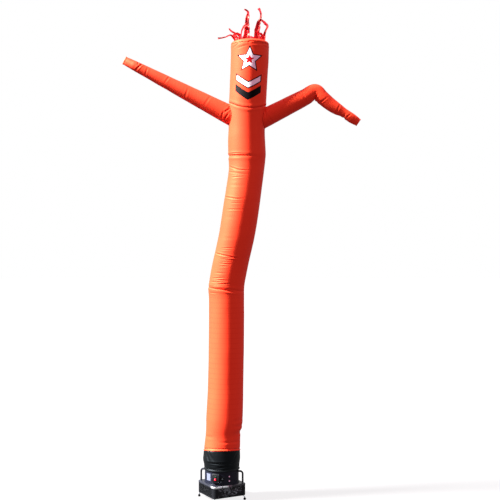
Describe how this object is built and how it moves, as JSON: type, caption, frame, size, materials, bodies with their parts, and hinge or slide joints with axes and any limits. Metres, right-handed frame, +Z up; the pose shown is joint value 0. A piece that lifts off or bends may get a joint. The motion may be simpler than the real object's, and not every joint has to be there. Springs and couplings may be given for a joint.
{
  "type": "inflatable air dancer on its blower",
  "caption": "tall cloth tube figure with raised arms and ribbon hair, held upright by air from a drum blower on a square base with handles and feet",
  "frame": {"origin": "on the ground, under the middle of the object's box", "axes": "+Z up, the dancer faces -Y, +X is to the right in the picture"},
  "size_m": [3.0266, 0.617, 6.2302],
  "materials": {
    "nylon_orange": "thin coated nylon, soft sheen",
    "nylon_black": "coated nylon, soft sheen",
    "steel_black": "satin powder coat",
    "edge_grey": "gloss paint, worn bright on its edge",
    "grille_black": "gloss coated wire mesh",
    "plastic_black": "moulded, matte",
    "stem_steel": "plated",
    "rubber_black": "matte",
    "button_red": "gloss",
    "button_green": "gloss",
    "plastic_white": "matte, blank"
  },
  "bodies": {
    "root": {"body_lower": "nylon_orange", "body_middle": "nylon_orange", "body_upper": "nylon_orange", "head": "nylon_orange", "cap": "nylon_orange", "arm_left": "nylon_orange", "arm_right": "nylon_orange", "hair_band": "nylon_orange", "hair_strip_bundle": "nylon_orange", "hair_strip_curl": "nylon_orange", "hair_strip_flat_left": "nylon_orange", "hair_strip_flick_left": "nylon_orange", "hair_strip_front": "nylon_orange", "hair_strip_loop_right": "nylon_orange", "hair_strip_tall_left": "nylon_orange", "hair_strip_tall_right": "nylon_orange", "sleeve": "nylon_black", "drum": "steel_black", "handle_left": "steel_black", "handle_right": "steel_black", "base_deck": "edge_grey", "base_tray": "plastic_black", "panel_back_left": "grille_black", "panel_back_right": "grille_black", "panel_front_left": "grille_black", "panel_front_right": "grille_black", "post_back_left": "plastic_black", "post_back_right": "plastic_black", "post_front_left": "plastic_black", "post_front_right": "plastic_black", "stem_back_left": "stem_steel", "stem_back_right": "stem_steel", "stem_front_left": "stem_steel", "stem_front_right": "stem_steel", "foot_back_left": "rubber_black", "foot_back_right": "rubber_black", "foot_front_left": "rubber_black", "foot_front_right": "rubber_black", "switch_box": "plastic_black", "cable_inlet": "plastic_black", "inlet_clip": "stem_steel", "button_red": "button_red", "button_green": "button_green", "plug_upper": "plastic_white", "plug_lower": "plastic_white", "label_plate": "plastic_white"}
  },
  "joints": []
}
